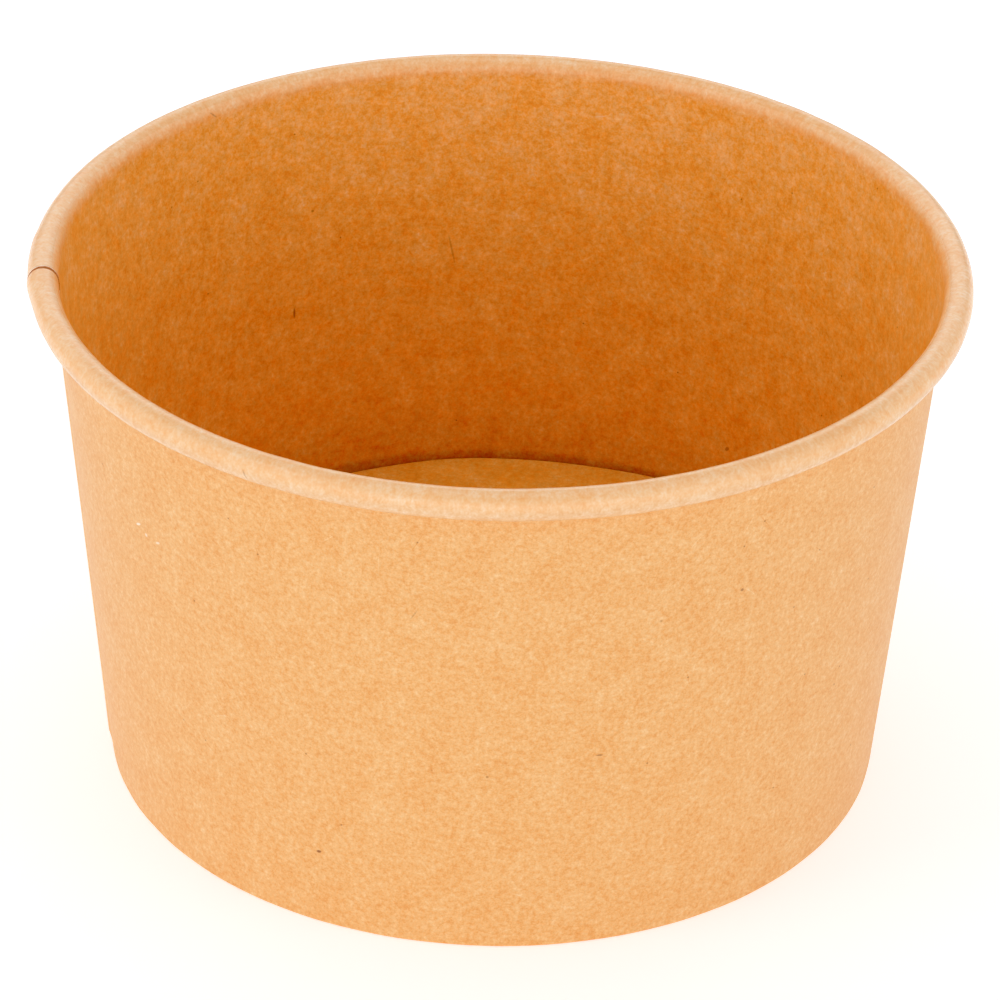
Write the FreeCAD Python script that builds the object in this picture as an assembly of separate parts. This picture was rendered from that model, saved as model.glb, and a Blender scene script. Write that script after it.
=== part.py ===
import FreeCAD, Part
import math
import os

from FreeCAD import Vector

# A round paper tub of two pieces of board. All sizes are in millimetres and
# degrees, +Z is up, the tub stands on Z = 0 and its axis is the Z axis.
#
#   side_wall  a fan-shaped blank wrapped into a cone and sealed to itself in
#              one lap seam, its top edge curled outwards into a hollow rim and
#              its bottom edge folded inwards and up
#   base_disc  a flat floor with a skirt turned down all round, held between the
#              side wall and the side wall's folded-in edge

# ---- driving dimensions ----------------------------------------------------
rim_radius = 47.5          # outermost radius, at the widest point of the rim
height = 56.0              # from the surface it stands on to the top of the rim
taper = 5.0                # lean of the wall from the vertical

wall_board = 0.40          # thickness of the side wall's board
disc_board = 0.35          # thickness of the bottom disc's board

# rim roll: an oval, taller than it is wide
rim_half_width = 1.44
rim_half_height = 1.574
rim_to_wall_gap = 0.06     # between the returning roll and the wall's outside
rim_tuck_radius = 0.95     # outside radius of the edge curled up inside the roll
rim_tuck_turn = 62.0       # how far that edge curls on past the wall's line

# bottom fold
fold_corner_radius = 0.45  # outside radius of the fold's two corners
flap_top = 7.8             # height of the folded-in edge's free end

# floor
floor_top = 9.2            # height of the floor's upper face
disc_bend_radius = 0.75    # outside radius where the floor turns down
skirt_end = 0.50           # height of the skirt's free end

# lap seam
lap_inner_edge = 186.0     # direction of the inner layer's cut edge
lap_outer_edge = 176.0     # direction of the outer layer's cut edge
lap_step = 0.24            # extra thickness of the pressed, sealed lap
lap_rim_step = 0.12        # the same on the rim's outside, where it is rolled flat
lap_ramp = 2.5             # how far round the outer layer takes to come down
lap_groove = 0.16          # depth of the groove along the inner layer's cut edge

# ---- drawing helpers -------------------------------------------------------


def rad(a):
    return math.radians(a)


def beside(x, z, heading, s):
    """The point s to the left of a path at (x, z) that runs along heading."""
    return Vector(x - s * math.sin(rad(heading)), 0, z + s * math.cos(rad(heading)))


def follow(x, z, heading, steps, sides):
    """Follows straight runs and tangent bends, and draws one edge for each step
    at each distance in sides to the left of the path. A step is ("run", length)
    or ("bend", path radius, turn), where a positive turn is to the left.
    Returns the edges of each side, and where the path ended."""
    drawn = [[] for _ in sides]
    for step in steps:
        if step[0] == "run":
            x1 = x + step[1] * math.cos(rad(heading))
            z1 = z + step[1] * math.sin(rad(heading))
            for s, edges in zip(sides, drawn):
                edges.append(
                    Part.LineSegment(
                        beside(x, z, heading, s), beside(x1, z1, heading, s)
                    ).toShape()
                )
            x, z = x1, z1
        else:
            radius, turn = step[1], step[2]
            way = 1.0 if turn > 0 else -1.0
            cx = x - way * radius * math.sin(rad(heading))
            cz = z + way * radius * math.cos(rad(heading))

            def at(angle, s):
                r = radius - way * s
                return Vector(
                    cx + way * r * math.sin(rad(angle)),
                    0,
                    cz - way * r * math.cos(rad(angle)),
                )

            for s, edges in zip(sides, drawn):
                edges.append(
                    Part.Arc(
                        at(heading, s), at(heading + turn / 2, s), at(heading + turn, s)
                    ).toShape()
                )
            heading += turn
            x = cx + way * radius * math.sin(rad(heading))
            z = cz - way * radius * math.cos(rad(heading))
    return drawn, (x, z, heading)


def ends(edge):
    return edge.valueAt(edge.FirstParameter), edge.valueAt(edge.LastParameter)


def between(one, other):
    """The flat face between two lines of edges that run side by side."""
    first = Part.LineSegment(ends(one[0])[0], ends(other[0])[0]).toShape()
    last = Part.LineSegment(ends(one[-1])[1], ends(other[-1])[1]).toShape()
    return Part.Face(Part.Wire(Part.__sortEdges__([*one, last, *other, first])))


def outline(points):
    """A flat face in the section plane, from (radius, height) corners."""
    corners = [Vector(x, 0, z) for x, z in points]
    return Part.Face(Part.makePolygon([*corners, corners[0]]))


def turned(face, start=0.0, sweep=360.0):
    """The solid that a section makes when it is turned about the axis."""
    section = face.copy()
    section.rotate(Vector(0, 0, 0), Vector(0, 0, 1), start)
    return section.revolve(Vector(0, 0, 0), Vector(0, 0, 1), sweep)


def column(low, high):
    """A straight-sided solid between two outlines of (direction, radius) at two
    heights, each given as (height, corners)."""
    wires = []
    for z, corners in (low, high):
        points = [
            Vector(r * math.cos(rad(a)), r * math.sin(rad(a)), z) for a, r in corners
        ]
        wires.append(Part.makePolygon([*points, points[0]]))
    return Part.makeLoft(wires, True, True)


# ---- the rim roll ----------------------------------------------------------
# The roll's outside is the board's inner face. It is an oval of two radii that
# meet at 45 degrees: crown_radius at the top and bottom, side_radius at the
# sides.
c45 = math.cos(rad(45))
crown_radius = (rim_half_width * c45 - rim_half_height * (1 - c45)) / (
    c45**2 - (1 - c45) ** 2
)
side_radius = (rim_half_height * c45 - rim_half_width * (1 - c45)) / (
    c45**2 - (1 - c45) ** 2
)
up = 90.0 - taper  # the direction of the wall, in the section

# from the top of the roll back down to where the curl begins
start_x = rim_radius - rim_half_width
start_z = height
start_x -= crown_radius * math.sin(rad(45))
start_z -= crown_radius * (1 - math.cos(rad(45)))
start_x -= side_radius * (math.sin(rad(up)) - math.sin(rad(45)))
start_z -= side_radius * (math.cos(rad(45)) - math.cos(rad(up)))


def wall_inside(z):
    """Radius of the wall's inner face at a height."""
    return start_x - (start_z - z) * math.tan(rad(taper))


def wall_outside(z):
    return wall_inside(z) + wall_board / math.cos(rad(taper))


# the return of the roll: one radius, from the outer side's lower end to where it
# runs beside the wall, rim_to_wall_gap away from it
low_x = rim_radius - side_radius * (1 - c45)
low_z = height - rim_half_height - side_radius * c45
return_dx = math.sin(rad(-135)) - math.sin(rad(up - 360))
return_dz = math.cos(rad(up - 360)) - math.cos(rad(-135))
return_radius = (
    wall_outside(low_z) + rim_to_wall_gap / math.cos(rad(taper)) - low_x
) / (return_dx - return_dz * math.tan(rad(taper)))

half = wall_board / 2
curl = [
    ("bend", side_radius - half, 45 - up),
    ("bend", crown_radius - half, -90.0),
    ("bend", side_radius - half, -90.0),
    ("bend", return_radius - half, up - 360 + 135),
    ("bend", rim_tuck_radius - half, -rim_tuck_turn),
]

# ---- the bottom fold -------------------------------------------------------
# The skirt of the disc fills the fold, so the two lines of the side wall's board
# are one disc thickness apart. The fold has a flat land to stand on.
fold_mid = fold_corner_radius - half
fold_land = (wall_board + disc_board - 2 * fold_mid) / math.cos(rad(taper))

# the wall's middle line, from the top of the fold to the start of the curl
mid_top_x = start_x + half * math.cos(rad(taper))
mid_top_z = start_z - half * math.sin(rad(taper))
mid_low_z = half + fold_mid * (1 - math.cos(rad(up)))
wall_run = (mid_top_z - mid_low_z) / math.cos(rad(taper))
mid_low_x = mid_top_x - wall_run * math.sin(rad(taper))

# the flap's middle line, from its free end down to the fold
flap_low_x = (
    mid_low_x
    - fold_mid * math.sin(rad(up))
    - fold_land
    - fold_mid * (math.sin(rad(0)) - math.sin(rad(up - 180)))
)
flap_low_z = half + fold_mid * (math.cos(rad(0)) - math.cos(rad(up - 180)))
flap_run = (flap_top - flap_low_z) / math.cos(rad(taper))
flap_top_x = flap_low_x + flap_run * math.sin(rad(taper))
flap_top_z = flap_low_z + flap_run * math.cos(rad(taper))

sheet = [
    ("run", flap_run),
    ("bend", fold_mid, 180 - up),
    ("run", fold_land),
    ("bend", fold_mid, up),
    ("run", wall_run),
    *curl,
]
(inner_face, outer_face), sheet_end = follow(
    flap_top_x, flap_top_z, up - 180, sheet, (half, -half)
)
ring = turned(between(inner_face, outer_face))

# ---- the lap seam ----------------------------------------------------------
# The inner layer keeps the wall's inner face and lies on the outside of the rim.
# The outer layer stands proud of the wall's outside. Pressed and sealed, the two
# are one thickness of wall_board + lap_step.
sweep = lap_inner_edge - lap_outer_edge
lean = math.cos(rad(taper))

low_proud, high_proud = fold_corner_radius + 0.05, low_z - 0.15
wall_lap = turned(
    outline(
        [
            (wall_outside(low_proud) - half, low_proud),
            (wall_outside(low_proud), low_proud),
            (wall_outside(low_proud + lap_step) + lap_step / lean, low_proud + lap_step),
            (wall_outside(high_proud) + lap_step / lean, high_proud),
            (wall_outside(high_proud + lap_step), high_proud + lap_step),
            (wall_outside(high_proud + lap_step) - half, high_proud + lap_step),
        ]
    ),
    lap_outer_edge,
    sweep,
)


def flap_inside(z):
    """Radius of the flap's face towards the axis."""
    return flap_low_x - half / lean + (z - flap_low_z) * math.tan(rad(taper))


flap_lap = turned(
    outline(
        [
            (flap_inside(low_proud) + half, low_proud),
            (flap_inside(low_proud), low_proud),
            (flap_inside(low_proud + lap_step) - lap_step / lean, low_proud + lap_step),
            (flap_inside(flap_top - 0.1) - lap_step / lean, flap_top - 0.1),
            (flap_inside(flap_top - 0.1) + half, flap_top - 0.1),
        ]
    ),
    lap_outer_edge,
    sweep,
)

# on the rim the extra layer goes from the inside of the wall over the top and
# round to the underside
fade_z = start_z - 5.0
proud, _ = follow(
    start_x + half * math.cos(rad(taper)),
    start_z - half * math.sin(rad(taper)),
    up,
    [*curl[:3], ("bend", return_radius - half, -60.0)],
    (half + lap_rim_step, 0.0),
)
rim_lap = turned(between(*proud), lap_outer_edge, sweep)
fade = turned(
    outline(
        [
            (wall_inside(fade_z), fade_z),
            (start_x - lap_rim_step * lean, start_z + lap_rim_step * math.sin(rad(taper))),
            (start_x + half * lean, start_z - half * math.sin(rad(taper))),
            (wall_inside(fade_z) + half, fade_z),
        ]
    ),
    lap_outer_edge,
    sweep,
)

# past the inner layer's cut edge the outer layer comes down to the wall's line,
# with a narrow groove left behind the edge on the inside
end = lap_inner_edge + lap_ramp
ramp = column(
    *(
        (
            z,
            [
                (lap_inner_edge - 0.2, wall_outside(z) - half),
                (lap_inner_edge - 0.2, wall_outside(z) + lap_step / lean),
                (lap_inner_edge, wall_outside(z) + lap_step / lean),
                (end, wall_outside(z)),
                (end, wall_outside(z) - half),
            ],
        )
        for z in (low_proud + lap_step, high_proud)
    )
)
groove = column(
    *(
        (
            z,
            [
                (lap_inner_edge, wall_inside(z) - 0.6),
                (lap_inner_edge, wall_inside(z) + lap_groove),
                (end, wall_inside(z)),
                (end, wall_inside(z) - 0.6),
            ],
        )
        for z in (floor_top + 0.05, start_z)
    )
)

side_wall = ring.fuse([wall_lap, flap_lap, rim_lap, fade, ramp]).cut(groove)
side_wall = side_wall.removeSplitter()
if side_wall.ShapeType != "Solid":
    side_wall = side_wall.Solids[0]

# ---- the bottom disc -------------------------------------------------------
# The skirt's outside lies on the wall's inner face, and its inside on the flap.
disc_half = disc_board / 2
disc_mid = disc_bend_radius - disc_half
bend_low_z = floor_top - disc_half - disc_mid * (1 + math.cos(rad(up)))
skirt_run = (bend_low_z - skirt_end) / lean
# the skirt's middle line is half a thickness in from the wall's inner face
skirt_x = wall_inside(skirt_end) - disc_half / lean
bend_low_x = skirt_x + skirt_run * math.sin(rad(taper))
panel_x = bend_low_x - disc_mid * math.sin(rad(up))
(disc_inside, disc_outside), disc_end = follow(
    skirt_x,
    skirt_end,
    up,
    [("run", skirt_run), ("bend", disc_mid, 180 - up), ("run", panel_x)],
    (disc_half, -disc_half),
)
base_disc = turned(between(disc_inside, disc_outside))
if base_disc.ShapeType != "Solid":
    base_disc = base_disc.Solids[0]

# ---- write the pieces ------------------------------------------------------
os.makedirs("parts", exist_ok=True)
for name, shape in (("side_wall", side_wall), ("base_disc", base_disc)):
    shape.exportStep("parts/%s.step" % name)
    box = shape.BoundBox
    print(
        name,
        shape.ShapeType,
        "valid" if shape.isValid() else "NOT VALID",
        "volume %.1f" % shape.Volume,
        "faces %d" % len(shape.Faces),
        "x %.3f %.3f y %.3f %.3f z %.3f %.3f"
        % (box.XMin, box.XMax, box.YMin, box.YMax, box.ZMin, box.ZMax),
    )
print(
    "radii %.3f %.3f %.3f wall outside at the bottom %.3f land %.3f at radius %.3f"
    % (
        crown_radius,
        side_radius,
        return_radius,
        wall_outside(0),
        fold_land,
        mid_low_x - fold_mid * math.sin(rad(up)) - fold_land / 2,
    )
)
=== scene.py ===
import math

import bpy
import numpy as np
from mathutils import Matrix, Vector


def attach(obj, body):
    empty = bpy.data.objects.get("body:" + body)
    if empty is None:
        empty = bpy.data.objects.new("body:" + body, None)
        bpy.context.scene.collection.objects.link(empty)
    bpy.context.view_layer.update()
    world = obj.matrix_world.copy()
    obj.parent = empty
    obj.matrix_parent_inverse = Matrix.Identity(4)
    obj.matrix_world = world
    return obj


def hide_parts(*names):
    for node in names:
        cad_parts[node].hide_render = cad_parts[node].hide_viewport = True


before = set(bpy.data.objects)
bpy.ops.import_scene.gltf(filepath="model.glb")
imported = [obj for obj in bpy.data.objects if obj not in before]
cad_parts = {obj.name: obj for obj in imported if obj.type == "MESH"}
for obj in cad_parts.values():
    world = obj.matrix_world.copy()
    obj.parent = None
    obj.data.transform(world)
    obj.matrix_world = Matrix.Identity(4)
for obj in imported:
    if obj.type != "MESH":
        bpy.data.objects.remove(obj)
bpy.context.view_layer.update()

# Lengths here are in millimetres and angles in degrees, unless they say
# otherwise. Meshes are written in metres.
MM = 0.001


def rad(a):
    return math.radians(a)


def ease(a, b, x):
    """0 before a, 1 after b, smooth between."""
    t = np.clip((np.asarray(x, float) - a) / (b - a), 0.0, 1.0)
    return t * t * (3 - 2 * t)


# ---- the tub's dimensions, as in the CAD ------------------------------------
RIM_RADIUS, HEIGHT, TAPER = 47.5, 56.0, 5.0
BOARD, DISC_BOARD = 0.40, 0.35
HALF_WIDTH, HALF_HEIGHT, ROLL_GAP = 1.44, 1.574, 0.06
TUCK_RADIUS, TUCK_TURN = 0.95, 62.0
CORNER, FLAP_TOP = 0.45, 7.8
FLOOR_TOP, DISC_BEND, SKIRT_END = 9.2, 0.75, 0.50
INNER_EDGE, OUTER_EDGE = 186.0, 176.0
LAP = INNER_EDGE - OUTER_EDGE
LAP_STEP, LAP_RIM_STEP = 0.24, 0.12

HALF, UP, LEAN = BOARD / 2, 90.0 - TAPER, math.cos(rad(TAPER))
C45 = math.cos(rad(45))
CROWN = (HALF_WIDTH * C45 - HALF_HEIGHT * (1 - C45)) / (C45**2 - (1 - C45) ** 2)
SIDE = (HALF_HEIGHT * C45 - HALF_WIDTH * (1 - C45)) / (C45**2 - (1 - C45) ** 2)
START_X = (
    RIM_RADIUS
    - HALF_WIDTH
    - CROWN * math.sin(rad(45))
    - SIDE * (math.sin(rad(UP)) - math.sin(rad(45)))
)
START_Z = (
    HEIGHT
    - CROWN * (1 - math.cos(rad(45)))
    - SIDE * (math.cos(rad(45)) - math.cos(rad(UP)))
)


def wall_inside(z):
    return START_X - (START_Z - z) * math.tan(rad(TAPER))


LOW_X = RIM_RADIUS - SIDE * (1 - C45)
LOW_Z = HEIGHT - HALF_HEIGHT - SIDE * C45
RETURN = (
    wall_inside(LOW_Z) + (BOARD + ROLL_GAP) / LEAN - LOW_X
) / (
    math.sin(rad(-135))
    - math.sin(rad(UP - 360))
    - (math.cos(rad(UP - 360)) - math.cos(rad(-135))) * math.tan(rad(TAPER))
)
FOLD = CORNER - HALF
LAND = (BOARD + DISC_BOARD - 2 * FOLD) / LEAN
MID_TOP_X, MID_TOP_Z = START_X + HALF * LEAN, START_Z - HALF * math.sin(rad(TAPER))
MID_LOW_Z = HALF + FOLD * (1 - math.cos(rad(UP)))
WALL_RUN = (MID_TOP_Z - MID_LOW_Z) / LEAN
MID_LOW_X = MID_TOP_X - WALL_RUN * math.sin(rad(TAPER))
FLAP_LOW_X = (
    MID_LOW_X - FOLD * math.sin(rad(UP)) - LAND + FOLD * math.sin(rad(UP - 180))
)
FLAP_LOW_Z = HALF + FOLD * (1 - math.cos(rad(UP - 180)))
FLAP_RUN = (FLAP_TOP - FLAP_LOW_Z) / LEAN
FLAP_X = FLAP_LOW_X + FLAP_RUN * math.sin(rad(TAPER))
FLAP_Z = FLAP_LOW_Z + FLAP_RUN * LEAN

# the flat blank: distance from the cone's apex to the fold, and the share of a
# turn that the flat blank spreads over
APEX = wall_inside(0.0) / math.sin(rad(TAPER))
FAN = math.sin(rad(TAPER))


def walk(x, z, heading, steps):
    """Stations (x, z, heading, length so far) along straight runs and tangent
    bends. A step is ("run", length, shares) or ("bend", radius, turn, count)."""
    out, far = [(x, z, heading, 0.0)], 0.0
    for step in steps:
        if step[0] == "run":
            for t in step[2]:
                d = step[1] * t
                out.append(
                    (
                        x + d * math.cos(rad(heading)),
                        z + d * math.sin(rad(heading)),
                        heading,
                        far + d,
                    )
                )
            x, z, _, far = out[-1]
        else:
            radius, turn, count = step[1:]
            way = 1.0 if turn > 0 else -1.0
            cx = x - way * radius * math.sin(rad(heading))
            cz = z + way * radius * math.cos(rad(heading))
            first = heading
            for k in range(1, count + 1):
                heading = first + turn * k / count
                out.append(
                    (
                        cx + way * radius * math.sin(rad(heading)),
                        cz - way * radius * math.cos(rad(heading)),
                        heading,
                        far + radius * rad(abs(turn)) * k / count,
                    )
                )
            x, z, _, far = out[-1]
    return np.array(out)


# ---- how far this tub is from perfectly round -------------------------------


def waves(az, seed, low, high, fall=0.5):
    """A smooth closed wave round the tub, of about unit height."""
    rng = np.random.RandomState(seed)
    out, total = np.zeros_like(np.asarray(az, float)), 0.0
    for k in range(low, high + 1):
        size = (low / k) ** fall
        out += size * np.sin(np.radians(az) * k + rng.uniform(0, 2 * math.pi))
        total += size * size
    return out / math.sqrt(total / 2)


def shaped(r, z, az, roll):
    """Takes nominal points to this tub's own slightly oval, slightly wavy form.
    roll is how far a point belongs to the rim."""
    up = np.clip(z / HEIGHT, 0, 1.02)
    c2, s2 = np.cos(np.radians(2 * az)), np.sin(np.radians(2 * az))
    base, rim = 1 - 0.00886 * c2 - 0.0010 * s2, 1 - 0.00281 * c2 - 0.00114 * s2
    r = r * (base + (rim - base) * up)
    belly = np.sin(np.pi * np.clip(up, 0, 1))
    r = r + belly * 0.035 * waves(az, 5, 3, 9)
    r = r + ease(0.80, 0.97, up) * 0.006 * waves(az, 8, 14, 60, 0.3)
    r = r + (1 - ease(0.0, 0.10, up)) * 0.014 * waves(az, 9, 8, 40, 0.3)
    z = z + up**2 * RIM_RADIUS * (0.0031 * c2 - 0.00026 * s2)
    z = z + roll * 0.006 * waves(az, 12, 12, 70, 0.3)
    return r, z


def to_xyz(r, z, az):
    a = np.radians(az)
    return np.stack([r * np.cos(a), r * np.sin(a), z], -1) * MM


# ---- the side wall ----------------------------------------------------------
wall_shares = [
    *(np.array([0.25, 0.6, 1.0, 1.6, 2.6]) / WALL_RUN),
    *np.linspace(5.0, WALL_RUN - 6.2, 11) / WALL_RUN,
    *(1 - np.array([5.0, 4.0, 3.0, 2.0, 1.2, 0.5, 0.0]) / WALL_RUN),
]
stations = walk(
    FLAP_X,
    FLAP_Z,
    UP - 180,
    [
        ("run", FLAP_RUN, [0.12, 0.4, 0.75, 1.0]),
        ("bend", FOLD, 180 - UP, 5),
        ("run", LAND, [0.5, 1.0]),
        ("bend", FOLD, UP, 5),
        ("run", WALL_RUN, wall_shares),
        ("bend", SIDE - HALF, 45 - UP, 6),
        ("bend", CROWN - HALF, -90.0, 12),
        ("bend", SIDE - HALF, -90.0, 10),
        ("bend", RETURN - HALF, UP - 360 + 135, 10),
        ("bend", TUCK_RADIUS - HALF, -TUCK_TURN, 4),
    ],
)
rows = len(stations)
s_fold = FLAP_RUN + FOLD * rad(180 - UP) + LAND / 2
s_wall = FLAP_RUN + FOLD * rad(180 - UP) + LAND + FOLD * rad(UP)
s_curl = s_wall + WALL_RUN
length = stations[:, 3]
is_roll = ease(s_curl - 2.4, s_curl - 0.4, length)
is_land = (1 - ease(s_wall, s_wall + 1.0, length)) * ease(
    FLAP_RUN - 1.0, FLAP_RUN, length
)
is_wall = 1 - is_roll - is_land

# the unwrapped directions: the inner layer's cut edge is at 186, and the blank
# goes once round and on beneath its own start, to -184
near = np.concatenate(
    [
        np.linspace(0, 0.6, 5),
        np.linspace(0.9, 9.3, 18),
        np.linspace(9.5, 11.0, 9),
        np.linspace(11.4, 14.6, 9),
    ]
)
far_side = np.concatenate(
    [
        np.linspace(0, 0.7, 5),
        np.linspace(1.0, 9.0, 14),
        np.linspace(9.3, 9.9, 4),
        np.linspace(10.0, 10.44, 12),
        np.linspace(10.52, 11.4, 7),
        np.linspace(11.7, 17.0, 13),
    ]
)
first, last = INNER_EDGE, OUTER_EDGE - 360
middle = np.linspace(first - near[-1], last + far_side[-1], 620)[1:-1]
turn = np.concatenate([first - near, middle, (last + far_side)[::-1]])
cols = len(turn)
a1, a2 = first - turn, turn - last

# each layer's two faces, as distances to the left of the middle line, for the
# wall, the rim roll and the land that it stands on
top_w = np.full(cols, 0.2)
low_w = np.full(cols, -0.2)
top_r, low_r = top_w.copy(), low_w.copy()
top_l, low_l = top_w.copy(), low_w.copy()
inner = a1 < 16
low_w[inner] += 0.085 * (1 - ease(9.4, 10.6, a1[inner]))
top_w[inner] -= 0.03 * (1 - ease(0, 0.4, a1[inner]))
top_r[inner] += LAP_RIM_STEP * (1 - ease(9.0, 13.5, a1[inner]))
top_r[inner] += 0.05 * (1 - ease(0, 0.5, a1[inner]))
low_r[inner] += 0.205 * (1 - ease(9.0, 13.5, a1[inner]))
low_l[inner] += 0.205 * (1 - ease(9.5, 11.5, a1[inner]))
outer = a2 < 18
b = a2[outer]
top_w[outer] = -0.125 - 0.05 * ease(9.3, 9.9, b) + 0.375 * ease(10.10, 11.6, b)
low_w[outer] = -0.44 + 0.24 * ease(10.0, 13.0, b) + 0.05 * (1 - ease(0, 0.6, b))
top_r[outer] = (
    -0.005
    - 0.12 * ease(9.2, 9.9, b)
    + 0.415 * ease(10.20, 10.42, b)
    - 0.09 * ease(10.6, 15.0, b)
)
low_r[outer] = -0.32 + 0.12 * ease(10.0, 13.0, b)
top_l[outer] = -0.005 + 0.205 * ease(10.0, 12.0, b)
low_l[outer] = -0.2


def faces_of(wall, roll, land):
    return (
        wall[:, None] * is_wall[None]
        + roll[:, None] * is_roll[None]
        + land[:, None] * is_land[None]
    )


def sheet_points(side):
    """The points of one face of the board, by column and row."""
    sx, sz, head = stations[:, 0], stations[:, 1], np.radians(stations[:, 2])
    r = sx[None] - side * np.sin(head)[None]
    z = sz[None] + side * np.cos(head)[None]
    az = np.repeat(turn[:, None], rows, 1)
    r, z = shaped(r, z, az, is_roll[None])
    return to_xyz(r, np.maximum(z, 0.0), az)


top_side = faces_of(top_w, top_r, top_l)
# just past the seam the outside of the roll stands out a little
slack = np.where(outer, ease(10.20, 10.44, a2) * (1 - ease(10.9, 17.0, a2)), 0.0)
outward = np.clip(-np.sin(np.radians(stations[:, 2])), 0, 1) * is_roll
top_side = top_side + 0.11 * slack[:, None] * outward[None]
low_side = faces_of(low_w, low_r, low_l)
top_points, low_points = sheet_points(top_side), sheet_points(low_side)

# inside the roll the board's other face is out of sight and takes fewer rows
curl_row = int(np.searchsorted(length, s_curl + 0.01))
low_rows = [*range(curl_row), *range(curl_row + 1, rows - 1, 3), rows - 1]
low_points = low_points[:, low_rows]
n_top, n_low = rows, len(low_rows)

points = np.concatenate([top_points.reshape(-1, 3), low_points.reshape(-1, 3)])
offset = cols * n_top


def top_id(i, j):
    return i * n_top + j


def low_id(i, j):
    return offset + i * n_low + j


def with_split(ring, i, at_first, at_last, first_split, last_split):
    """Adds an end's split point to a ring of the first or the last column."""
    ring = list(ring)
    if i == 0:
        ring.insert(at_first, first_split)
    if i == cols - 2:
        ring.insert(at_last, last_split)
    return tuple(ring)


split_start = len(points)
polygons, kinds = [], []  # kind 0: the coated face, 1: the plain face, 2: cut edge
# kind 3: a dark strip, partly adhesive and partly painted shade in the seam's crevice
for i in range(cols - 1):
    for j in range(n_top - 1):
        polygons.append(
            (top_id(i, j), top_id(i, j + 1), top_id(i + 1, j + 1), top_id(i + 1, j))
        )
        # on the roll the inner layer's lip is raw, and beside it a dark strip is painted: partly adhesive,
        # partly painted shade in the crevice beneath the lip
        curled = is_roll[j] > 0.5
        glue_and_crevice_shade = curled and 9.95 < 0.5 * (a2[i] + a2[i + 1]) < 10.28
        kinds.append(3 if glue_and_crevice_shade else 2 if curled and i == 0 else 0)
    for j in range(n_low - 1):
        polygons.append(
            (low_id(i, j), low_id(i + 1, j), low_id(i + 1, j + 1), low_id(i, j + 1))
        )
        kinds.append(1)
    ring = (top_id(i, 0), top_id(i + 1, 0), low_id(i + 1, 0), low_id(i, 0))
    polygons.append(with_split(ring, i, 4, 2, split_start, split_start + n_low))
    kinds.append(2)
    ring = (
        top_id(i, n_top - 1),
        low_id(i, n_low - 1),
        low_id(i + 1, n_low - 1),
        top_id(i + 1, n_top - 1),
    )
    polygons.append(
        with_split(ring, i, 1, 3, split_start + n_low - 1, split_start + 2 * n_low - 1)
    )
    kinds.append(2)
# the ends are cut edges too: their upper part is pale pulp and the lower is dark, partly adhesive
# and partly painted shade, and on the roll all of the inner layer's end is dark as painted crevice shade
split_points = []
for i, flip in ((0, False), (cols - 1, True)):
    base = len(points) + len(split_points)
    for k, row in enumerate(low_rows):
        split_points.append(0.62 * top_points[i, row] + 0.38 * low_points[i, k])
    for j in range(n_low - 1):
        span = range(low_rows[j], low_rows[j + 1] + 1)
        upper = [base + j, base + j + 1, *(top_id(i, k) for k in reversed(span))]
        lower = [low_id(i, j), low_id(i, j + 1), base + j + 1, base + j]
        crevice_shade = is_roll[low_rows[j]] > 0.5 and not flip
        for ring, kind in ((upper, 3 if crevice_shade else 2), (lower, 3)):
            polygons.append(tuple(reversed(ring)) if flip else tuple(ring))
            kinds.append(kind)
points = np.concatenate([points, np.array(split_points)])
# all these rings run clockwise as seen from outside, so they are turned round
polygons = [ring[::-1] for ring in polygons]

# coordinates for the board's pattern, by point: the place in the flat blank, and
# the place along and across the strip
arc = turn * rad(1.0) * 44.0


def pattern_places(lengths, face):
    reach = APEX + (lengths - s_fold)[None]
    swing = np.radians(turn)[:, None] * FAN
    flat = np.stack(
        [
            reach * np.sin(swing) + face * 200.0,
            reach * np.cos(swing) - APEX,
            np.zeros((cols, len(lengths))),
        ],
        -1,
    )
    strip = np.stack(
        [
            np.repeat(arc[:, None], len(lengths), 1) + face * 400.0,
            np.repeat(lengths[None], cols, 0),
            np.zeros((cols, len(lengths))),
        ],
        -1,
    )
    return flat.reshape(-1, 3), strip.reshape(-1, 3)


flat_top, strip_top = pattern_places(length, 0)
flat_low, strip_low = pattern_places(length[low_rows], 1)
ends = [i * n_top + row for i in (0, cols - 1) for row in low_rows]
blank_places = np.concatenate([flat_top, flat_low, flat_top[ends]])
strip_places = np.concatenate([strip_top, strip_low, strip_top[ends]])


def vector_attribute(mesh, name, values):
    layer = mesh.attributes.new(name, "FLOAT_VECTOR", "POINT")
    layer.data.foreach_set("vector", np.asarray(values, np.float32).ravel())


def number_attribute(mesh, name, values):
    layer = mesh.attributes.new(name, "FLOAT", "POINT")
    layer.data.foreach_set("value", np.asarray(values, np.float32).ravel())


def make_piece(name, places, shapes, slots, materials):
    mesh = bpy.data.meshes.new(name)
    mesh.from_pydata([tuple(p) for p in places], [], shapes)
    for m in materials:
        mesh.materials.append(m)
    mesh.polygons.foreach_set("material_index", np.array(slots, np.int32))
    mesh.polygons.foreach_set("use_smooth", np.ones(len(shapes), bool))
    mesh.update()
    piece = bpy.data.objects.new(name, mesh)
    bpy.context.scene.collection.objects.link(piece)
    return piece, mesh


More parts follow.
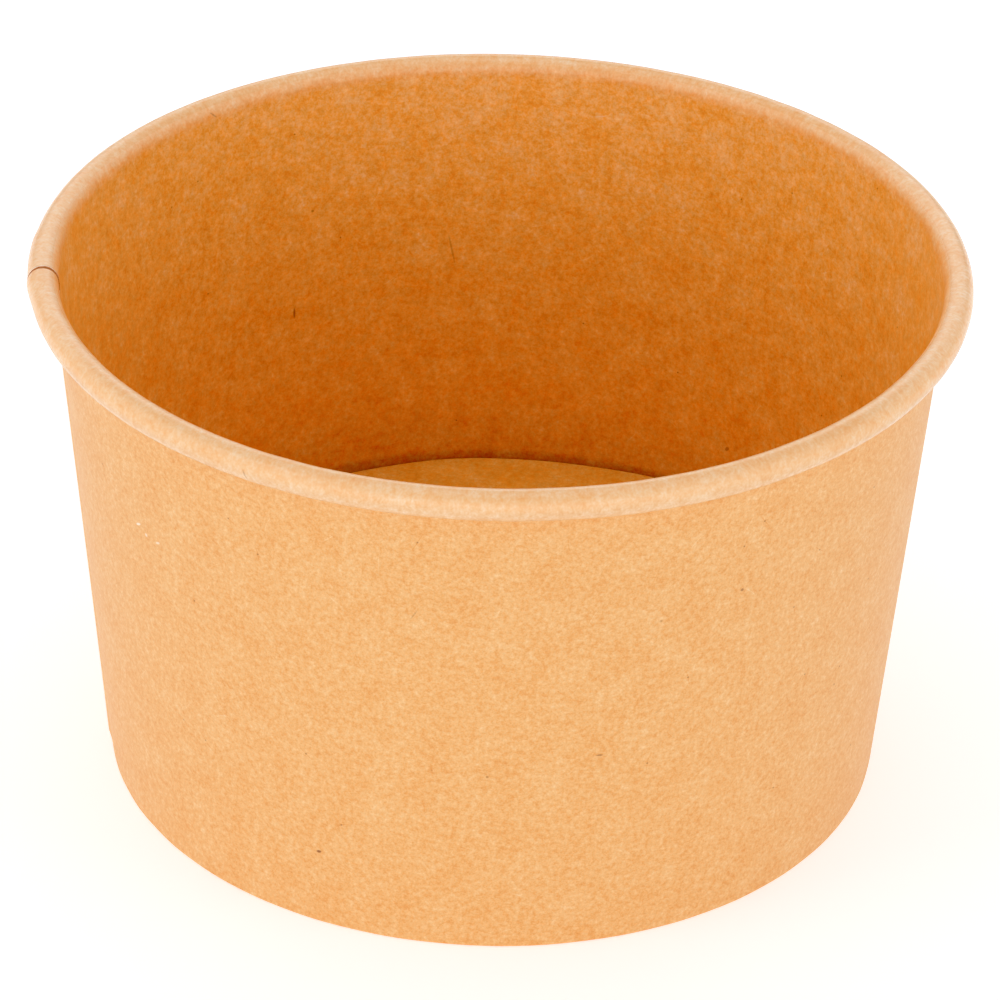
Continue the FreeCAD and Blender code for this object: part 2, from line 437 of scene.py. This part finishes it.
def sharpen(mesh, slots, turn_over=38.0):
    """Marks the edges where two kinds of face meet as sharp."""
    owners = {}
    normals = np.zeros(len(mesh.polygons) * 3, np.float32)
    mesh.polygons.foreach_get("normal", normals)
    normals = normals.reshape(-1, 3)
    marks = np.zeros(len(mesh.edges), bool)
    loops = np.zeros(len(mesh.loops), np.int32)
    mesh.loops.foreach_get("edge_index", loops)
    starts = np.zeros(len(mesh.polygons), np.int32)
    mesh.polygons.foreach_get("loop_start", starts)
    totals = np.zeros(len(mesh.polygons), np.int32)
    mesh.polygons.foreach_get("loop_total", totals)
    owner = np.repeat(np.arange(len(mesh.polygons)), totals)
    order = np.argsort(loops, kind="stable")
    edges, faces = loops[order], owner[order]
    same = edges[1:] == edges[:-1]
    e, f, g = edges[1:][same], faces[:-1][same], faces[1:][same]
    slots = np.array(slots)
    flat = (normals[f] * normals[g]).sum(-1) < math.cos(rad(turn_over))
    marks[e] = (slots[f] != slots[g]) | flat
    layer = mesh.attributes.new("sharp_edge", "BOOLEAN", "EDGE")
    layer.data.foreach_set("value", marks)


# ---- materials --------------------------------------------------------------

# single specks and hairs in the pulp, on the outside and the inside, on the flat
# blank: across, up, half length, half width, angle, depth
MARKS_OUT = (
    (119.53, 2.20, 0.27, 0.17, 24, 0.85),
    (144.80, 20.43, 0.35, 0.11, 4, 0.55),
    (156.84, 38.27, 0.18, 0.19, 65, 0.60),
    (148.37, 36.17, 0.16, 0.16, 0, 0.28),
    (134.37, 17.03, 0.15, 0.15, 0, 0.42),
    (149.93, 25.34, 0.43, 0.11, 39, 0.16),
    (124.62, 34.79, 0.65, 0.08, 68, 0.28),
    (92.61, 27.85, 0.46, 0.14, 40, -0.70),
    (93.99, 27.50, 0.21, 0.20, 39, -0.50),
    (95.86, 27.91, 0.35, 0.14, 39, -0.45),
)
MARKS_IN = (
    (89.53, 21.05, 0.61, 0.14, 82, 0.60),
    (72.50, 28.92, 1.79, 0.12, -110, 0.30),
    (103.20, 44.50, 0.54, 0.10, -152, 0.40),
    (88.94, 32.77, 0.17, 0.15, 0, 0.45),
    (37.82, 13.96, 0.35, 0.21, 132, 0.50),
    (59.03, 47.16, 0.61, 0.09, 163, -0.25),
    (-93.72, 50.58, 0.53, 0.10, 79, 0.35),
)


class Nodes:
    """A short way to write a material's nodes."""

    def __init__(self, name):
        self.material = bpy.data.materials.new(name)
        self.material.use_nodes = True
        self.tree = self.material.node_tree
        self.tree.nodes.clear()
        self.output = self.tree.nodes.new("ShaderNodeOutputMaterial")
        self.shader = self.tree.nodes.new("ShaderNodeBsdfPrincipled")
        self.link(self.shader.outputs[0], self.output.inputs["Surface"])

    def link(self, a, b):
        self.tree.links.new(a, b)

    def put(self, socket, value):
        if isinstance(value, bpy.types.NodeSocket):
            self.link(value, socket)
        else:
            socket.default_value = value

    def place(self, name):
        node = self.tree.nodes.new("ShaderNodeAttribute")
        node.attribute_name = name
        return node.outputs["Vector"]

    def factor(self, name):
        node = self.tree.nodes.new("ShaderNodeAttribute")
        node.attribute_name = name
        return node.outputs["Fac"]

    def math(self, op, a, b=0.0, c=0.0, clamp=False):
        node = self.tree.nodes.new("ShaderNodeMath")
        node.operation = op
        node.use_clamp = clamp
        self.put(node.inputs[0], a)
        self.put(node.inputs[1], b)
        self.put(node.inputs[2], c)
        return node.outputs[0]

    def vector(self, op, a, b=(0, 0, 0), scale=None):
        node = self.tree.nodes.new("ShaderNodeVectorMath")
        node.operation = op
        self.put(node.inputs[0], a)
        self.put(node.inputs[1], b)
        if scale is not None:
            self.put(node.inputs["Scale"], scale)
        return node.outputs[0]

    def mapping(self, place, angle=0.0, scale=(1, 1, 1), move=(0, 0, 0)):
        node = self.tree.nodes.new("ShaderNodeMapping")
        self.put(node.inputs["Vector"], place)
        node.inputs["Location"].default_value = move
        node.inputs["Rotation"].default_value = (0, 0, rad(angle))
        node.inputs["Scale"].default_value = scale
        return node.outputs[0]

    def noise(self, place, scale, detail=0.0, rough=0.5):
        node = self.tree.nodes.new("ShaderNodeTexNoise")
        node.noise_dimensions = "2D"
        self.put(node.inputs["Vector"], place)
        node.inputs["Scale"].default_value = scale
        node.inputs["Detail"].default_value = detail
        node.inputs["Roughness"].default_value = rough
        return node.outputs["Fac"]

    def band(self, value, low, high, start=0.0, end=1.0):
        node = self.tree.nodes.new("ShaderNodeMapRange")
        node.interpolation_type = "SMOOTHSTEP"
        self.put(node.inputs["Value"], value)
        node.inputs["From Min"].default_value = low
        node.inputs["From Max"].default_value = high
        node.inputs["To Min"].default_value = start
        node.inputs["To Max"].default_value = end
        return node.outputs[0]

    def mix(self, factor, a, b, kind="MIX"):
        node = self.tree.nodes.new("ShaderNodeMix")
        node.data_type = "RGBA"
        node.blend_type = kind
        self.put(node.inputs["Factor"], factor)
        self.put(node.inputs["A"], a)
        self.put(node.inputs["B"], b)
        return node.outputs["Result"]

    def gamma(self, colour, power):
        node = self.tree.nodes.new("ShaderNodeGamma")
        self.put(node.inputs["Color"], colour)
        self.put(node.inputs["Gamma"], power)
        return node.outputs[0]


def strokes(n, place, scale, reach, width, bend, power, move):
    """Short curved fibres at random angles, one to a cell: from -1 for the
    palest to 1 for the darkest, 0 between them. Also gives the cell's node."""
    where = n.vector("ADD", place, move)
    cell = n.tree.nodes.new("ShaderNodeTexVoronoi")
    cell.voronoi_dimensions = "2D"
    n.put(cell.inputs["Vector"], where)
    cell.inputs["Scale"].default_value = scale
    dice = n.tree.nodes.new("ShaderNodeSeparateColor")
    n.put(dice.inputs[0], cell.outputs["Color"])
    spin = n.tree.nodes.new("ShaderNodeVectorRotate")
    spin.rotation_type = "Z_AXIS"
    n.put(spin.inputs["Vector"], n.vector("SUBTRACT", where, cell.outputs["Position"]))
    n.put(spin.inputs["Angle"], n.math("MULTIPLY", dice.outputs[0], math.pi))
    place = n.tree.nodes.new("ShaderNodeSeparateXYZ")
    n.put(place.inputs[0], spin.outputs[0])
    u, v = place.outputs[0], place.outputs[1]
    curl = n.math("MULTIPLY_ADD", dice.outputs[1], 2 * bend, -bend)
    v = n.math("MULTIPLY_ADD", n.math("MULTIPLY", u, u), curl, v)
    line = n.band(n.math("ABSOLUTE", v), width * 0.5, width * 1.7, 1.0, 0.0)
    ends = n.band(n.math("ABSOLUTE", u), reach * 0.5, reach, 1.0, 0.0)
    kind = n.math("MULTIPLY_ADD", dice.outputs[2], 2.0, -1.0)
    size = n.math("POWER", n.math("ABSOLUTE", kind), power)
    kind = n.math("MULTIPLY", n.math("SIGN", kind), size)
    out = n.math("MULTIPLY", n.math("MULTIPLY", line, ends), kind)
    return out, cell, dice.outputs[2]


def board(name, colour, look, rolled=None, marks=()):
    """Kraft board: a colour that is denser or thinner in clouds, in a fine
    mottle and along single fibres. Density is a power of the colour, so that
    dense spots are also more saturated, as in real unbleached pulp. Over it
    lies a grain that is only lighter and darker."""
    n = Nodes(name)
    blank = n.place("blank")
    clouds, mottle = look["clouds"], look["mottle"]
    cloud = n.noise(blank, 0.26, 1.0, 0.7)
    fine = n.noise(blank, look["fine"], 2.0, look["fall"])
    density = n.math("MULTIPLY_ADD", cloud, clouds, 1.0 - 0.5 * (clouds + mottle))
    density = n.math("MULTIPLY_ADD", fine, mottle, density)
    # the felt: thin curved lines, a dark one and a pale one side by side
    line = n.noise(n.vector("ADD", blank, (50, 20, 0)), look["felt_scale"], 1.0, 0.6)
    for level, size in ((0.44, look["felt"]), (0.57, -look["felt"])):
        near_line = n.math("ABSOLUTE", n.math("SUBTRACT", line, level))
        thread = n.band(near_line, 0.0, 0.045, 1.0, 0.0)
        density = n.math("MULTIPLY_ADD", n.math("MULTIPLY", thread, fine), 2 * size, density)
    dark = pale = None
    if look["fibres"]:
        hair, cell, dice = strokes(n, blank, 0.34, 1.20, 0.035, 0.22, 2.4, (31, 17, 0))
        density = n.math("MULTIPLY_ADD", hair, look["fibres"], density)
        dot = n.band(cell.outputs["Distance"], 0.02, 0.045, 1.0, 0.0)
        dark = n.math("MULTIPLY", dot, n.band(dice, 0.965, 0.97, 0.0, 0.55))
    base = (*colour, 1.0)
    if rolled:
        # the curled board is paler, partly its own tone and partly painted sheen for the light on its top, and
        # creased across the roll
        part = n.factor("rolled")
        calm = n.math("MULTIPLY_ADD", part, -0.15, 1.0)
        density = n.math("MULTIPLY_ADD", n.math("SUBTRACT", density, 1.0), calm, 1.0)
        base = n.mix(part, base, (*rolled, 1.0))
        # painted shade: the underside of the roll is darker and greyer
        base = n.mix(n.factor("under_shade"), base, (*(c * d for c, d in zip(rolled, UNDER_SHADE)), 1.0))
        strip = n.place("strip")
        crease = n.noise(n.mapping(strip, 0.0, (3.4, 0.8, 1)), 1.0, 1.0, 0.8)
        crease = n.math("MULTIPLY", n.math("SUBTRACT", crease, 0.5), part)
        density = n.math("MULTIPLY_ADD", crease, 0.14, density)
        # the board is darker just above the floor: a narrow band, partly from the pressing and adhesive there
        # and partly painted shade, and a wider, weaker band that is painted shade in the corner at the floor
        up = n.tree.nodes.new("ShaderNodeSeparateXYZ")
        n.put(up.inputs[0], strip)
        pressed_and_painted_shade = n.band(up.outputs[1], S_FLOOR + 0.1, S_FLOOR + 1.0, -0.20, 0.0)
        # painted shade: a wider, weaker darkening above the floor
        wide = n.band(up.outputs[1], S_FLOOR + 0.5, S_FLOOR + 9.0, -0.11, 0.0)
        pressed_and_painted_shade = n.math("ADD", pressed_and_painted_shade, wide)
    tone = n.gamma(base, density)
    grain = n.noise(blank, look["grain_scale"], look["grain_detail"], 1.0)
    grain = n.math("MULTIPLY", n.math("SUBTRACT", grain, 0.5), look["grain"])
    if rolled:
        grain = n.math("MULTIPLY", grain, n.math("MULTIPLY_ADD", part, -0.85, 1.0))
        # the darkening above the floor, partly painted shade, goes into the grain
        grain = n.math("ADD", grain, pressed_and_painted_shade)
    tone = n.vector("SCALE", tone, scale=n.math("ADD", grain, 1.0))
    # single marks: darker ones, and paler where the depth is negative
    for x, y, long, wide, angle, depth in marks:
        node = n.tree.nodes.new("ShaderNodeMapping")
        node.vector_type = "TEXTURE"
        n.put(node.inputs["Vector"], blank)
        node.inputs["Location"].default_value = (x, y, 0)
        node.inputs["Rotation"].default_value = (0, 0, rad(angle))
        node.inputs["Scale"].default_value = (long, wide, 1)
        far = n.tree.nodes.new("ShaderNodeVectorMath")
        far.operation = "LENGTH"
        n.put(far.inputs[0], node.outputs[0])
        one = n.band(far.outputs["Value"], 0.55, 1.25, abs(depth), 0.0)
        if depth < 0:
            pale = one if pale is None else n.math("ADD", pale, one)
        else:
            dark = one if dark is None else n.math("ADD", dark, one)
    if dark is not None:
        tone = n.mix(dark, tone, (0.22, 0.055, 0.012, 1.0))
    if pale is not None:
        tone = n.mix(pale, tone, (0.93, 0.84, 0.70, 1.0))
    n.link(tone, n.shader.inputs["Base Color"])
    # tooth
    bump = n.tree.nodes.new("ShaderNodeBump")
    bump.inputs["Strength"].default_value = look["tooth"]
    bump.inputs["Distance"].default_value = 0.05 * MM
    n.link(n.noise(blank, 2.6, 1.0, 0.8), bump.inputs["Height"])
    n.link(bump.outputs[0], n.shader.inputs["Normal"])
    if rolled:
        n.link(
            n.math("MULTIPLY_ADD", part, look["rolled_rough"] - look["rough"], look["rough"]),
            n.shader.inputs["Roughness"],
        )
    else:
        n.shader.inputs["Roughness"].default_value = look["rough"]
    n.shader.inputs["IOR"].default_value = 1.45
    n.shader.inputs["Specular IOR Level"].default_value = 0.5
    return n.material


KRAFT = (0.80, 0.399, 0.144)
COATED = (0.89, 0.410, 0.119)
# the curl's paler colour is partly painted sheen, and the factor for its underside is painted shade
ROLLED_TONE_AND_SHEEN, UNDER_SHADE = (0.93, 0.525, 0.258), (0.84, 0.90, 0.98)
S_FLOOR = s_wall + (FLOOR_TOP - MID_LOW_Z) / LEAN
OUTSIDE = {
    "clouds": 0.25, "mottle": 0.90, "fine": 1.5, "fall": 0.9, "felt": 0.065, "felt_scale": 1.2,
    "fibres": 0.24, "grain": 0.20, "grain_scale": 4.0, "grain_detail": 1.0, "tooth": 0.16,
    "rough": 0.50,
}
INSIDE = {
    "clouds": 0.42, "mottle": 1.00, "fine": 1.2, "fall": 0.95, "felt": 0.09, "felt_scale": 1.0,
    "fibres": 0.22, "grain": 0.46, "grain_scale": 0.5, "grain_detail": 4.0, "tooth": 0.16,
    "rough": 0.42, "rolled_rough": 0.25,
}
CUT = {**OUTSIDE, "fibres": 0.0, "rough": 0.9}
coated = board("kraft_board_inside", COATED, INSIDE, ROLLED_TONE_AND_SHEEN, MARKS_IN)
plain = board("kraft_board_outside", KRAFT, OUTSIDE, None, MARKS_OUT)
raw = board("kraft_board_cut_edge", (0.92, 0.77, 0.60), CUT)
# dark brown, partly adhesive and partly painted shade in the seam's crevice
glue_and_shade_material = board("kraft_board_glue_and_painted_shade", (0.62, 0.27, 0.12), CUT)
disc_top = board("kraft_disc_top", (0.93, 0.48, 0.135), INSIDE)
disc_under = board("kraft_disc_under", KRAFT, OUTSIDE)

side_wall, wall_mesh = make_piece(
    "side_wall_sheet", points, polygons, kinds, [coated, plain, raw, glue_and_shade_material]
)
vector_attribute(wall_mesh, "blank", blank_places)
vector_attribute(wall_mesh, "strip", strip_places)
rolled = ease(s_curl - 0.8, s_curl + 1.6, length)
# the roll's underside, which the inside material darkens as painted shade
under_shade = (1 - ease(-25, 25, stations[:, 2] + 90)) * rolled
for name, value in (("rolled", rolled), ("under_shade", under_shade)):
    number_attribute(
        wall_mesh,
        name,
        np.concatenate(
            [np.tile(value, cols), np.tile(value[low_rows], cols), np.tile(value[low_rows], 2)]
        ),
    )
sharpen(wall_mesh, kinds)

# a UV map of its own: each face of the board in three lengths, in a grid of two
# columns and three rows, and the cut edges in narrow strips below
uv = wall_mesh.uv_layers.new(name="OFBake")
thirds = [0, cols // 3, 2 * cols // 3, cols - 1]


def uv_at(kind_of_face, third, i, j_length):
    cell = third + 3 * kind_of_face
    cx, cy = cell % 2, cell // 2
    lo, hi = turn[thirds[third]], turn[thirds[third + 1]]
    u = (turn[i] - lo) / (hi - lo)
    v = j_length / length[-1]
    return (
        0.006 + cx * 0.5 + u * 0.488,
        0.066 + cy * 0.311 + v * 0.299,
    )


coords = []
low_lengths = length[low_rows]
for i in range(cols - 1):
    third = 0 if i < thirds[1] else 1 if i < thirds[2] else 2
    for j in range(n_top - 1):
        for ii, jj in ((i, j), (i, j + 1), (i + 1, j + 1), (i + 1, j)):
            coords.append(uv_at(0, third, ii, length[jj]))
    for j in range(n_low - 1):
        for ii, jj in ((i, j), (i + 1, j), (i + 1, j + 1), (i, j + 1)):
            coords.append(uv_at(1, third, ii, low_lengths[jj]))
    u0, u1 = 0.01 + 0.98 * i / (cols - 1), 0.01 + 0.98 * (i + 1) / (cols - 1)
    ring = [(u0, 0.006), (u1, 0.006), (u1, 0.012), (u0, 0.012)]
    coords += with_split(ring, i, 4, 2, (u0, 0.009), (u1, 0.009))
    ring = [(u0, 0.020), (u0, 0.026), (u1, 0.026), (u1, 0.020)]
    coords += with_split(ring, i, 1, 3, (u0, 0.023), (u1, 0.023))
for i, y, flip in ((0, 0.034, False), (cols - 1, 0.048, True)):
    for j in range(n_low - 1):
        span = range(low_rows[j], low_rows[j + 1] + 1)
        u0 = 0.01 + 0.98 * low_lengths[j] / length[-1]
        u1 = 0.01 + 0.98 * low_lengths[j + 1] / length[-1]
        upper = [(u0, y + 0.005), (u1, y + 0.005)]
        upper += [(0.01 + 0.98 * length[k] / length[-1], y + 0.009) for k in reversed(span)]
        lower = [(u0, y), (u1, y), (u1, y + 0.004), (u0, y + 0.004)]
        for ring in (upper, lower):
            coords += list(reversed(ring)) if flip else ring
starts = np.cumsum([0] + [len(ring) for ring in polygons])
coords = [c for a, b in zip(starts, starts[1:]) for c in coords[a:b][::-1]]
uv.data.foreach_set("uv", np.array(coords, np.float32).ravel())

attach(side_wall, "root")
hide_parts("side_wall")

# ---- the bottom disc --------------------------------------------------------
D_HALF = DISC_BOARD / 2
D_MID = DISC_BEND - D_HALF
bend_z = FLOOR_TOP - D_HALF - D_MID * (1 + math.cos(rad(UP)))
skirt_run = (bend_z - SKIRT_END) / LEAN
skirt_x = wall_inside(SKIRT_END) - D_HALF / LEAN - 0.012
panel_x = skirt_x + skirt_run * math.sin(rad(TAPER)) - D_MID * math.sin(rad(UP))
disc_path = walk(
    skirt_x,
    SKIRT_END,
    UP,
    [
        ("run", skirt_run, [0.1, 0.35, 0.65, 0.9, 1.0]),
        ("bend", D_MID, 180 - UP, 8),
        (
            "run",
            panel_x - 0.4,
            [0.008, 0.02, 0.04, 0.07, 0.11, 0.17, 0.25, 0.35, 0.48, 0.63, 0.80, 1.0],
        ),
    ],
)
d_rows, d_cols = len(disc_path), 360
d_az = np.arange(d_cols) * 360.0 / d_cols

# the height of the floor's edge round the far side, where it is seen
seen_az = [58, 64.6, 68.3, 71.8, 75.4, 78.8, 82.3, 85.7, 89.1, 92.5, 95.9, 99.3, 102.7, 106.2, 113.3, 120]
seen_up = [0.05, 0.16, 0.08, -0.06, -0.08, -0.08, -0.06, -0.05, 0.0, 0.05, 0.09, 0.09, 0.03, -0.05, -0.09, -0.02]
edge_wave = np.interp(d_az, seen_az, seen_up, left=0.0, right=0.0)
kernel = np.exp(-0.5 * (np.arange(-6, 7) / 2.0) ** 2)
edge_wave = np.convolve(np.tile(edge_wave, 3), kernel / kernel.sum(), "same")[
    d_cols : 2 * d_cols
]
hidden = 1 - ease(50, 58, d_az) * (1 - ease(120, 128, d_az))
edge_wave = edge_wave + 0.05 * hidden * waves(d_az, 21, 6, 22)


def disc_points(side):
    sx, sz, head = disc_path[:, 0], disc_path[:, 1], np.radians(disc_path[:, 2])
    r = sx - side * np.sin(head)
    z = sz + side * np.cos(head)
    az = np.repeat(d_az[:, None], d_rows, 1)
    r, z = np.repeat(r[None], d_cols, 0), np.repeat(z[None], d_cols, 0)
    out = np.clip(r / 40.6, 0, 1)
    raised = ease(1.0, 8.0, z)
    lift = out * 0.45 * np.cos(np.radians(az)) - 0.03
    lift = lift + out**9 * edge_wave[:, None]
    lift = lift + 0.05 * (1 - out**2) * np.cos(np.radians(az * 2 + 40)) * out
    lift = lift * raised
    r2, z2 = shaped(r, z, az, 0.0)
    # the floor follows the wall's lean where it sits higher or lower
    r2 = r2 + lift * math.tan(rad(TAPER)) * ease(0.8, 1.0, out)
    return to_xyz(r2, z2 + lift, az)


d_low, d_top = disc_points(D_HALF), disc_points(-D_HALF)
d_points = np.concatenate([d_top.reshape(-1, 3), d_low.reshape(-1, 3)])
d_off = d_cols * d_rows
centre_top, centre_low = len(d_points), len(d_points) + 1
d_points = np.concatenate(
    [d_points, [d_top[:, -1].mean(0)], [d_low[:, -1].mean(0)]]
)
d_polys, d_kinds = [], []
for i in range(d_cols):
    k = (i + 1) % d_cols
    for j in range(d_rows - 1):
        d_polys.append(
            (i * d_rows + j, k * d_rows + j, k * d_rows + j + 1, i * d_rows + j + 1)
        )
        d_kinds.append(0)
        d_polys.append(
            (
                d_off + i * d_rows + j,
                d_off + i * d_rows + j + 1,
                d_off + k * d_rows + j + 1,
                d_off + k * d_rows + j,
            )
        )
        d_kinds.append(1)
    d_polys.append((i * d_rows, d_off + i * d_rows, d_off + k * d_rows, k * d_rows))
    d_kinds.append(2)
    d_polys.append((i * d_rows + d_rows - 1, k * d_rows + d_rows - 1, centre_top))
    d_kinds.append(0)
    d_polys.append(
        (d_off + k * d_rows + d_rows - 1, d_off + i * d_rows + d_rows - 1, centre_low)
    )
    d_kinds.append(1)

reach = disc_path[-1, 3] - disc_path[:, 3] + 0.4


def disc_places(face):
    a = np.radians(d_az)[:, None]
    flat = np.stack(
        [
            reach[None] * np.cos(a) + 400 + face * 200,
            reach[None] * np.sin(a),
            np.zeros((d_cols, d_rows)),
        ],
        -1,
    )
    return flat.reshape(-1, 3)


d_blank = np.concatenate(
    [disc_places(0), disc_places(1), [[400, 0, 0]], [[600, 0, 0]]]
)
base_disc, disc_mesh = make_piece(
    "base_disc_sheet", d_points, d_polys, d_kinds, [disc_top, disc_under, raw]
)
vector_attribute(disc_mesh, "blank", d_blank)
vector_attribute(disc_mesh, "strip", d_blank)
sharpen(disc_mesh, d_kinds)
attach(base_disc, "root")
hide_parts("base_disc")

# ---- floor and light --------------------------------------------------------
# how bright the white surround is, by height and by side
LOW = {"front": 2.20, "back": 0.50, "left": 0.88, "right": 0.79}
MIDDLE = {"front": 0.82, "back": 1.98, "left": 1.31, "right": 1.02}
TOP = 0.0
FLOOR_GLOW = 0.45
bpy.ops.mesh.primitive_plane_add(size=6.0, location=(0, 0, 0))
ground = bpy.context.object
ground.name = "studio_floor"
ground_nodes = Nodes("studio_floor")
ground_nodes.shader.inputs["Base Color"].default_value = (0.86, 0.86, 0.86, 1.0)
ground_nodes.shader.inputs["Roughness"].default_value = 0.9
ground_nodes.shader.inputs["Emission Color"].default_value = (1.0, 1.0, 1.0, 1.0)
ground_nodes.shader.inputs["Emission Strength"].default_value = FLOOR_GLOW
ground_nodes.shader.inputs["Specular IOR Level"].default_value = 0.2
ground.data.materials.append(ground_nodes.material)

world = bpy.data.worlds.new("studio")
bpy.context.scene.world = world
world.use_nodes = True
# the surround is a ring of large soft white panels: a low and a middle band,
# each with its own level in front, behind, left and right, and a dim ceiling
sky = world.node_tree
backdrop = sky.nodes["Background"]
backdrop.inputs["Color"].default_value = (1.0, 1.0, 1.0, 1.0)
way = sky.nodes.new("ShaderNodeTexCoord")
split = sky.nodes.new("ShaderNodeSeparateXYZ")
sky.links.new(way.outputs["Generated"], split.inputs[0])
across, along, above = split.outputs


def calc(op, a, b=0.0, c=0.0):
    node = sky.nodes.new("ShaderNodeMath")
    node.operation = op
    for socket, value in zip(node.inputs, (a, b, c)):
        if isinstance(value, bpy.types.NodeSocket):
            sky.links.new(value, socket)
        else:
            socket.default_value = value
    return node.outputs[0]


def step_up(value, low, high):
    node = sky.nodes.new("ShaderNodeMapRange")
    node.interpolation_type = "SMOOTHSTEP"
    sky.links.new(value, node.inputs["Value"])
    node.inputs["From Min"].default_value = low
    node.inputs["From Max"].default_value = high
    return node.outputs[0]


level_x = calc("MULTIPLY", across, across)
level_y = calc("MULTIPLY", along, along)
level_all = calc("ADD", calc("ADD", level_x, level_y), 1e-6)
sides = {}
for name, axis, square, sign in (
    ("front", along, level_y, -1.0),
    ("back", along, level_y, 1.0),
    ("left", across, level_x, -1.0),
    ("right", across, level_x, 1.0),
):
    towards = calc("GREATER_THAN", calc("MULTIPLY", axis, sign), 0.0)
    sides[name] = calc("MULTIPLY", calc("DIVIDE", square, level_all), towards)


def ring_level(levels):
    total = 0.0
    for name, value in levels.items():
        total = calc("MULTIPLY_ADD", sides[name], value, total)
    return total


over_low, over_middle = step_up(above, 0.15, 0.40), step_up(above, 0.50, 0.80)
low_part = calc("MULTIPLY", calc("SUBTRACT", 1.0, over_low), ring_level(LOW))
middle_share = calc("SUBTRACT", over_low, over_middle)
glow = calc("MULTIPLY_ADD", middle_share, ring_level(MIDDLE), low_part)
glow = calc("MULTIPLY_ADD", over_middle, TOP, glow)
sky.links.new(glow, backdrop.inputs["Strength"])


def softbox(name, place, target, size, power, colour=(1.0, 1.0, 1.0)):
    light = bpy.data.lights.new(name, "AREA")
    light.shape = "RECTANGLE"
    light.size, light.size_y = size
    light.energy = power
    light.color = colour
    lamp = bpy.data.objects.new(name, light)
    lamp.location = place
    lamp.rotation_mode = "QUATERNION"
    lamp.rotation_quaternion = (Vector(target) - Vector(place)).to_track_quat("-Z", "Y")
    bpy.context.scene.collection.objects.link(lamp)
    return lamp


softbox("overhead", (0.0, 0.05, 0.75), (0, 0, 0.03), (0.7, 0.7), 1.60)
softbox("key_left", (-0.50, -0.28, 0.66), (0, 0, 0.03), (0.30, 0.30), 0.58)
softbox("key_right", (0.50, -0.28, 0.66), (0, 0, 0.03), (0.30, 0.30), 0.38)

# ---- camera -----------------------------------------------------------------
tilt, roll_angle, distance, focal = 0.532492, 0.0215361, 12.16425, 5615.05
unit = RIM_RADIUS * MM
forward = Vector((0, math.cos(tilt), -math.sin(tilt)))
right0 = Vector((1, 0, 0))
up0 = right0.cross(forward)
right = right0 * math.cos(roll_angle) + up0 * math.sin(roll_angle)
up_way = up0 * math.cos(roll_angle) - right0 * math.sin(roll_angle)
aim = Vector((0.00778338 * unit, 0, 0.5809708 * unit))
cam_data = bpy.data.cameras.new("camera")
cam_data.sensor_width = 36.0
cam_data.lens = focal / 1000.0 * 36.0
cam_data.clip_start, cam_data.clip_end = 0.01, 20.0
camera = bpy.data.objects.new("camera", cam_data)
turned = Matrix((right, up_way, -forward)).transposed().to_4x4()
turned.translation = aim - forward * (distance * unit)
camera.matrix_world = turned
bpy.context.scene.collection.objects.link(camera)
bpy.context.scene.camera = camera

view_settings = bpy.context.scene.view_settings
view_settings.view_transform = "Standard"
view_settings.look = "None"
# a camera's curve: a soft shoulder up to the white of the backdrop, and a toe
view_settings.use_curve_mapping = True
curves = view_settings.curve_mapping
WHITE = 1.03
curves.white_level = (WHITE, WHITE, WHITE)
curve = curves.curves[3]
for at, to in (
    (0.030, 0.006), (0.10, 0.085), (0.25, 0.25), (0.55, 0.56), (0.80, 0.80), (0.90, 0.89),
):
    curve.points.new(at / WHITE, to)
curves.update()
